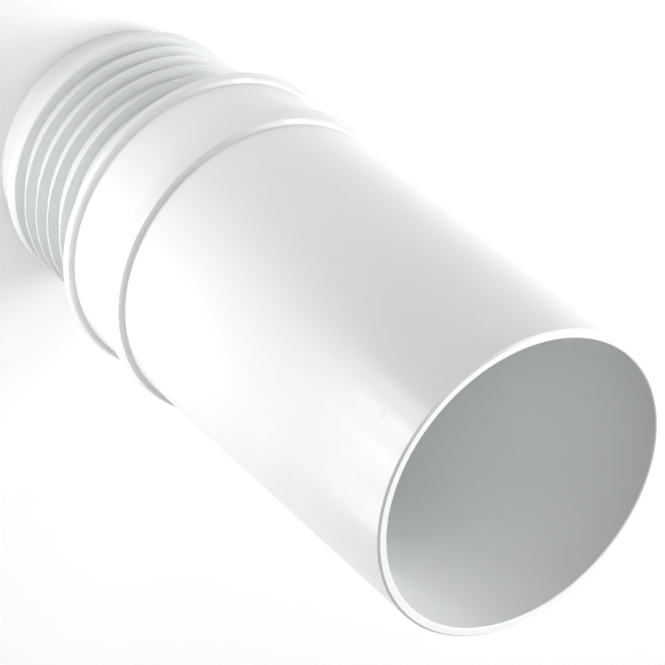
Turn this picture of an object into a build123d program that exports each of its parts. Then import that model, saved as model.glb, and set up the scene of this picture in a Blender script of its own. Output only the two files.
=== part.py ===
"""Straight toilet extension: a plain 110 mm tube with two raised collars and a finned spigot, moulded in one piece.

Millimetres, Z up. The part stands on the rim of its finned end, Z = 0, and the plain open end looks up.
"""
import os
from math import cos, radians, sin, tan

from build123d import *

# Overall
total_length = 257.5
wall = 3.2

# Plain tube and the neck behind it
tube_radius = 55.0
tube_length = 152.2
neck_rise = 0.2
rim_outer_ease = 0.7
rim_inner_ease = 0.4

# Tube collar, a rounded nose up from the tube and a crown rising to its far edge
tube_collar_length = 8.2
collar_rise = 2.9
collar_step = 2.0
collar_nose = 1.15
collar_nose_deg = 42.0
collar_root_ease = 0.25
tube_collar_back_ease = 0.8
tube_collar_heel_ease = 0.7

# Spigot collar, a shorter copy at the end of the neck
neck_length = 25.6
spigot_collar_length = 3.8
spigot_collar_back_ease = 0.3
spigot_root_ease = 1.2

# Spigot under the fins
spigot_radius = 45.0
spigot_wall = 3.0
spigot_rim_ease = 0.8
spigot_bore_ease = 0.5
cone_angle_deg = 47.0

# Sealing fins and the wide end ring
fin_count = 4
fin_pitch = 8.0
last_fin_shift = 0.8
fin_radius = 49.2
fin_tip = 0.8
fin_root = 1.8
fin_tip_ease = 0.2
end_ring_back = 11.5
end_ring_width = 6.0
end_ring_hollow = 0.35
end_ring_land = 1.1
end_ring_ease = 0.35
first_gap = 7.6

# Places along the axis, from the finned end up
end_ring_front = end_ring_back + end_ring_width
fin_places = [end_ring_front + first_gap + fin * fin_pitch for fin in range(fin_count)]
fin_places[-1] += last_fin_shift
spigot_collar_front = total_length - tube_length - tube_collar_length - neck_length
spigot_collar_back = spigot_collar_front - spigot_collar_length
tube_collar_front = total_length - tube_length
tube_collar_back = tube_collar_front - tube_collar_length

# Radii that follow from the sizes above
neck_radius = tube_radius + neck_rise
collar_radius = tube_radius + collar_rise
bore_radius = tube_radius - wall
spigot_bore_radius = spigot_radius - spigot_wall
nose_start = (-sin(radians(collar_nose_deg)), cos(radians(collar_nose_deg)))
cone_bottom = spigot_collar_back + spigot_wall
cone_top = cone_bottom + (bore_radius - spigot_bore_radius) / tan(radians(cone_angle_deg))


with BuildPart() as extension_body:
    with BuildSketch(Plane.XZ) as section:
        # Tube, collars, neck and spigot in one half section, up the outside and down the bore
        with BuildLine() as wall_line:
            spigot_side = Line((spigot_radius, 0), (spigot_radius, spigot_collar_back))
            spigot_shoulder = Line(spigot_side @ 1, (collar_radius, spigot_collar_back))
            spigot_crown = TangentArc(
                spigot_shoulder @ 1,
                (neck_radius + collar_step, spigot_collar_front - collar_nose),
                tangent=(0, 1),
            )
            spigot_nose = TangentArc(spigot_crown @ 1, (neck_radius, spigot_collar_front), tangent=nose_start)
            neck_side = Line(spigot_nose @ 1, (neck_radius, tube_collar_back))
            tube_shoulder = Line(neck_side @ 1, (collar_radius, tube_collar_back))
            tube_crown = TangentArc(
                tube_shoulder @ 1,
                (tube_radius + collar_step, tube_collar_front - collar_nose),
                tangent=(0, 1),
            )
            tube_nose = TangentArc(tube_crown @ 1, (tube_radius, tube_collar_front), tangent=nose_start)
            tube_side = Line(tube_nose @ 1, (tube_radius, total_length))
            plain_rim = Line(tube_side @ 1, (bore_radius, total_length))
            bore_side = Line(plain_rim @ 1, (bore_radius, cone_top))
            bore_cone = Line(bore_side @ 1, (spigot_bore_radius, cone_bottom))
            spigot_bore = Line(bore_cone @ 1, (spigot_bore_radius, 0))
            finned_rim = Line(spigot_bore @ 1, spigot_side @ 0)
        make_face()

        # Wide end ring with a shallow hollow between its two lands
        with BuildLine() as ring_line:
            Polyline(
                (spigot_radius - wall / 2, end_ring_back),
                (fin_radius, end_ring_back),
                (fin_radius, end_ring_back + end_ring_land),
                (fin_radius - end_ring_hollow, end_ring_back + 2 * end_ring_land),
                (fin_radius - end_ring_hollow, end_ring_front - 2 * end_ring_land),
                (fin_radius, end_ring_front - end_ring_land),
                (fin_radius, end_ring_front),
                (spigot_radius - wall / 2, end_ring_front),
                close=True,
            )
        make_face()

        # Thin sealing fins, thicker at the root than at the tip
        for middle in fin_places:
            with BuildLine() as fin_line:
                Polyline(
                    (spigot_radius - wall / 2, middle - fin_root / 2),
                    (spigot_radius, middle - fin_root / 2),
                    (fin_radius, middle - fin_tip / 2),
                    (fin_radius, middle + fin_tip / 2),
                    (spigot_radius, middle + fin_root / 2),
                    (spigot_radius - wall / 2, middle + fin_root / 2),
                    close=True,
                )
            make_face()

        def corner(radius, height):
            """The corner of the half section at a radius and a height."""
            return section.vertices().sort_by_distance((radius, height, 0))[0]

        # Eased edges and roots of the collars
        chamfer(corner(collar_radius, tube_collar_back), tube_collar_back_ease)
        chamfer(corner(collar_radius, spigot_collar_back), spigot_collar_back_ease)
        chamfer(corner(neck_radius, tube_collar_back), tube_collar_heel_ease)
        chamfer(corner(tube_radius, tube_collar_front), collar_root_ease)
        chamfer(corner(neck_radius, spigot_collar_front), collar_root_ease)
        chamfer(corner(spigot_radius, spigot_collar_back), spigot_root_ease)

        # Eased rims of both ends
        chamfer(corner(tube_radius, total_length), rim_outer_ease)
        chamfer(corner(bore_radius, total_length), rim_inner_ease)
        chamfer(corner(spigot_radius, 0), spigot_rim_ease)
        chamfer(corner(spigot_bore_radius, 0), spigot_bore_ease)

        # Eased tips of the fins and edges of the end ring
        for middle in fin_places:
            chamfer(corner(fin_radius, middle - fin_tip / 2), fin_tip_ease)
            chamfer(corner(fin_radius, middle + fin_tip / 2), fin_tip_ease)
        chamfer(corner(fin_radius, end_ring_back), end_ring_ease)
        chamfer(corner(fin_radius, end_ring_front), end_ring_ease)
    revolve(axis=Axis.Z)

extension_body.part.label = "extension_body"

os.makedirs("parts", exist_ok=True)
export_step(extension_body.part, "parts/extension_body.step")
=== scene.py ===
import math

import bpy
from mathutils import Matrix, Vector

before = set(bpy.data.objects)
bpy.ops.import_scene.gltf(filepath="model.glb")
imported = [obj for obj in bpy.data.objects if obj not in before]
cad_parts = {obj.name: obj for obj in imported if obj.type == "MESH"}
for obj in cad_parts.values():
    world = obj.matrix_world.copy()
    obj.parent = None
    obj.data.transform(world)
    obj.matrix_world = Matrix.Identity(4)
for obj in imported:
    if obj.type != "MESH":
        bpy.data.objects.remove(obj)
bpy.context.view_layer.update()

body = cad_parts["extension_body"]

# Finish of the walls and edges, in metres and radians
JOIN_DISTANCE = 0.000004
SHARP_ANGLE = 0.6
EDGE_ROUND = 0.00012
EDGE_ROUND_ANGLE = 0.35

# Plastic: two close tones of a cool white, and the marks that the photograph shows near the open end
TONE_DEEP = (0.882, 0.898, 0.897, 1)
TONE_PALE = (0.900, 0.914, 0.913, 1)
TONE_DULL = (0.77, 0.785, 0.78, 1)
ROUGH_LOW, ROUGH_HIGH, ROUGH_DULL = 0.21, 0.25, 0.28
DULL_SPOT = (0.0105, -0.0540, 0.2417)
DULL_SPOT_HALF = (0.0021, 0.0030, 0.0017)
STREAK = (0.0043, -0.0548, 0.2109)
STREAK_HALF = (0.0045, 0.0030, 0.0006)
STREAK_TILT = 0.25
DULL_SPOT_STRENGTH, STREAK_STRENGTH = 0.55, 0.3
MARK_CORE = 0.4
IOR = 1.5
CLOUD_SCALE, LINES_SCALE, SKIN_SCALE = 22, 260, 900
LINES_STRETCH = (1, 1, 0.03)
NOISE_LOW, NOISE_HIGH = 0.3, 0.7
LINES_BUMP, LINES_DEPTH = 0.015, 0.0002
SKIN_BUMP, SKIN_DEPTH = 0.04, 0.0001

# Stage
FLOOR_SIDE = 12
FLOOR_GREY = (0.97, 0.97, 0.97, 1)
FLOOR_GLOW = 0.06
FLOOR_ROUGH = 0.9
WHITE = (1, 1, 1, 1)
WORLD_STRENGTH = 0.04

# Camera of the photograph
LENS = 179.225
SENSOR = 36
EYE = (0.0, -0.79157, 0.92581)
RIGHT = (-0.637507, 0.539788, 0.549740)
UP = (-0.770444, -0.445534, -0.455978)
BACK = (-0.001204, -0.714233, 0.699907)

# Soft lights by name: azimuth from the camera's side in degrees, distance from the axis, height,
# height aimed at, width, depth and power. The low ones stand near the floor, under the collars' noses.
LIGHTS = (
    ("front", 0, 0.95, 1.795, 0.15, 1.4, 1.4, 8.8),
    ("low_near", -15, 0.30, 0.035, 0.20, 0.14, 0.06, 0.122),
    ("low_front", -30, 0.30, 0.035, 0.20, 0.14, 0.06, 0.101),
    ("low_front_left", -45, 0.30, 0.035, 0.20, 0.14, 0.06, 0.113),
    ("low_left", -60, 0.30, 0.035, 0.20, 0.14, 0.06, 0.040),
    ("low_side", -75, 0.30, 0.035, 0.20, 0.14, 0.06, 0.060),
    ("far_side", -75, 0.50, 0.035, 0.20, 0.12, 0.06, 0.50),
    ("right", 75, 0.65, 0.70, 0.20, 0.25, 0.25, 0.85),
    ("edge", 105, 0.65, 0.70, 0.20, 0.25, 0.25, 1.8),
    ("rear", 135, 0.65, 0.70, 0.20, 0.25, 0.25, 3.2),
    ("rear_high", 180, 0.65, 1.935, 0.15, 1.4, 1.4, 15.5),
)


# Smooth walls with crisp corners: the facets are joined, and only turns over the sharp angle stay sharp
def smooth_group():
    group = bpy.data.node_groups.new("smooth_walls", "GeometryNodeTree")
    group.interface.new_socket("Geometry", in_out="INPUT", socket_type="NodeSocketGeometry")
    group.interface.new_socket("Geometry", in_out="OUTPUT", socket_type="NodeSocketGeometry")
    nodes, links = group.nodes, group.links
    start = nodes.new("NodeGroupInput")
    end = nodes.new("NodeGroupOutput")
    bare = nodes.new("GeometryNodeRemoveAttribute")
    bare.inputs["Name"].default_value = "custom_normal"
    merge = nodes.new("GeometryNodeMergeByDistance")
    merge.inputs["Distance"].default_value = JOIN_DISTANCE
    angle = nodes.new("GeometryNodeInputMeshEdgeAngle")
    gentle = nodes.new("FunctionNodeCompare")
    gentle.operation = "LESS_THAN"
    gentle.inputs[1].default_value = SHARP_ANGLE
    faces = nodes.new("GeometryNodeSetShadeSmooth")
    faces.domain = "FACE"
    edges = nodes.new("GeometryNodeSetShadeSmooth")
    edges.domain = "EDGE"
    links.new(start.outputs[0], bare.inputs["Geometry"])
    links.new(bare.outputs["Geometry"], merge.inputs["Geometry"])
    links.new(merge.outputs["Geometry"], faces.inputs["Geometry"])
    links.new(faces.outputs["Geometry"], edges.inputs["Geometry"])
    links.new(angle.outputs["Unsigned Angle"], gentle.inputs[0])
    links.new(gentle.outputs["Result"], edges.inputs["Shade Smooth"])
    links.new(edges.outputs["Geometry"], end.inputs[0])
    return group


def finish_edges():
    smooth = body.modifiers.new("smooth_walls", "NODES")
    smooth.node_group = smooth_group()
    rounding = body.modifiers.new("rounded_edges", "BEVEL")
    rounding.width = EDGE_ROUND
    rounding.segments = 2
    rounding.limit_method = "ANGLE"
    rounding.angle_limit = EDGE_ROUND_ANGLE
    rounding.harden_normals = True


# Small pieces that the plastic is put together from
def noise(tree, place, scale, detail, stretch=(1, 1, 1)):
    spread = tree.nodes.new("ShaderNodeMapping")
    spread.inputs["Scale"].default_value = stretch
    grain = tree.nodes.new("ShaderNodeTexNoise")
    grain.inputs["Scale"].default_value = scale
    grain.inputs["Detail"].default_value = detail
    tree.links.new(place, spread.inputs["Vector"])
    tree.links.new(spread.outputs["Vector"], grain.inputs["Vector"])
    return grain.outputs["Fac"]


def ranged(tree, value, low, high, out_low, out_high):
    change = tree.nodes.new("ShaderNodeMapRange")
    change.interpolation_type = "SMOOTHSTEP"
    for name, number in (("From Min", low), ("From Max", high), ("To Min", out_low), ("To Max", out_high)):
        change.inputs[name].default_value = number
    tree.links.new(value, change.inputs["Value"])
    return change.outputs["Result"]


def blended(tree, kind, factor, first, second):
    mix = tree.nodes.new("ShaderNodeMix")
    mix.data_type = kind
    sockets = [s for s in mix.inputs if s.enabled]
    tree.links.new(factor, sockets[0])
    for socket, value in ((sockets[1], first), (sockets[2], second)):
        if isinstance(value, bpy.types.NodeSocket):
            tree.links.new(value, socket)
        else:
            socket.default_value = value
    return [s for s in mix.outputs if s.enabled][0]


def patch(tree, place, centre, half, tilt, strength):
    shift = tree.nodes.new("ShaderNodeMapping")
    shift.vector_type = "TEXTURE"
    shift.inputs["Location"].default_value = centre
    shift.inputs["Rotation"].default_value = (0, tilt, 0)
    shift.inputs["Scale"].default_value = half
    far = tree.nodes.new("ShaderNodeVectorMath")
    far.operation = "LENGTH"
    tree.links.new(place, shift.inputs["Vector"])
    tree.links.new(shift.outputs["Vector"], far.inputs[0])
    return ranged(tree, far.outputs["Value"], MARK_CORE, 1, strength, 0)


def raised(tree, height, strength, depth):
    bump = tree.nodes.new("ShaderNodeBump")
    bump.inputs["Strength"].default_value = strength
    bump.inputs["Distance"].default_value = depth
    tree.links.new(height, bump.inputs["Height"])
    return bump


# White moulded plastic: close tones, uneven gloss, a fine moulded skin and the faint marks
def white_plastic():
    material = bpy.data.materials.new("white_plastic")
    material.use_nodes = True
    tree = material.node_tree
    shader = tree.nodes["Principled BSDF"]
    shader.inputs["IOR"].default_value = IOR
    place = tree.nodes.new("ShaderNodeTexCoord").outputs["Object"]
    cloud = ranged(tree, noise(tree, place, CLOUD_SCALE, 3), NOISE_LOW, NOISE_HIGH, 0, 1)
    lines = noise(tree, place, LINES_SCALE, 2, LINES_STRETCH)
    skin = noise(tree, place, SKIN_SCALE, 2)
    spot = patch(tree, place, DULL_SPOT, DULL_SPOT_HALF, 0, DULL_SPOT_STRENGTH)
    streak = patch(tree, place, STREAK, STREAK_HALF, STREAK_TILT, STREAK_STRENGTH)
    stronger = tree.nodes.new("ShaderNodeMath")
    stronger.operation = "MAXIMUM"
    tree.links.new(spot, stronger.inputs[0])
    tree.links.new(streak, stronger.inputs[1])
    marks = stronger.outputs["Value"]
    tone = blended(tree, "RGBA", cloud, TONE_DEEP, TONE_PALE)
    tone = blended(tree, "RGBA", marks, tone, TONE_DULL)
    gloss = ranged(tree, lines, NOISE_LOW, NOISE_HIGH, ROUGH_LOW, ROUGH_HIGH)
    gloss = blended(tree, "FLOAT", marks, gloss, ROUGH_DULL)
    drawn = raised(tree, lines, LINES_BUMP, LINES_DEPTH)
    grain = raised(tree, skin, SKIN_BUMP, SKIN_DEPTH)
    tree.links.new(drawn.outputs["Normal"], grain.inputs["Normal"])
    tree.links.new(tone, shader.inputs["Base Color"])
    tree.links.new(gloss, shader.inputs["Roughness"])
    tree.links.new(grain.outputs["Normal"], shader.inputs["Normal"])
    return material


def dress():
    body.data.materials.clear()
    body.data.materials.append(white_plastic())


# Pale floor, with a little light of its own so that it stays near white as in the photograph
def lay_floor():
    bpy.ops.mesh.primitive_plane_add(size=FLOOR_SIDE, location=(0, 0, 0))
    floor = bpy.context.object
    floor.name = "floor"
    pale = bpy.data.materials.new("pale_floor")
    pale.use_nodes = True
    shader = pale.node_tree.nodes["Principled BSDF"]
    shader.inputs["Base Color"].default_value = FLOOR_GREY
    shader.inputs["Roughness"].default_value = FLOOR_ROUGH
    shader.inputs["Emission Color"].default_value = WHITE
    shader.inputs["Emission Strength"].default_value = FLOOR_GLOW
    floor.data.materials.append(pale)


# Soft studio light
def softbox(name, azimuth, reach, height, aim_height, width, depth, power):
    turn = math.radians(azimuth)
    place = Vector((-math.sin(turn) * reach, -math.cos(turn) * reach, height))
    light = bpy.data.lights.new(name, "AREA")
    light.shape = "RECTANGLE"
    light.size = width
    light.size_y = depth
    light.energy = power
    lamp = bpy.data.objects.new(name, light)
    lamp.location = place
    lamp.rotation_euler = (Vector((0, 0, aim_height)) - place).to_track_quat("-Z", "Y").to_euler()
    bpy.context.scene.collection.objects.link(lamp)


def light_studio():
    world = bpy.data.worlds.new("studio")
    world.use_nodes = True
    sky = world.node_tree.nodes["Background"]
    sky.inputs["Color"].default_value = WHITE
    sky.inputs["Strength"].default_value = WORLD_STRENGTH
    bpy.context.scene.world = world
    for light in LIGHTS:
        softbox(*light)


# Camera at the photograph's viewing angle
def set_camera():
    lens = bpy.data.cameras.new("camera")
    lens.sensor_width = SENSOR
    lens.lens = LENS
    camera = bpy.data.objects.new("camera", lens)
    turn = Matrix((RIGHT, UP, BACK)).transposed()
    camera.matrix_world = Matrix.Translation(EYE) @ turn.to_4x4()
    bpy.context.scene.collection.objects.link(camera)
    bpy.context.scene.camera = camera
    bpy.context.scene.view_settings.view_transform = "Standard"


finish_edges()
dress()
lay_floor()
light_studio()
set_camera()
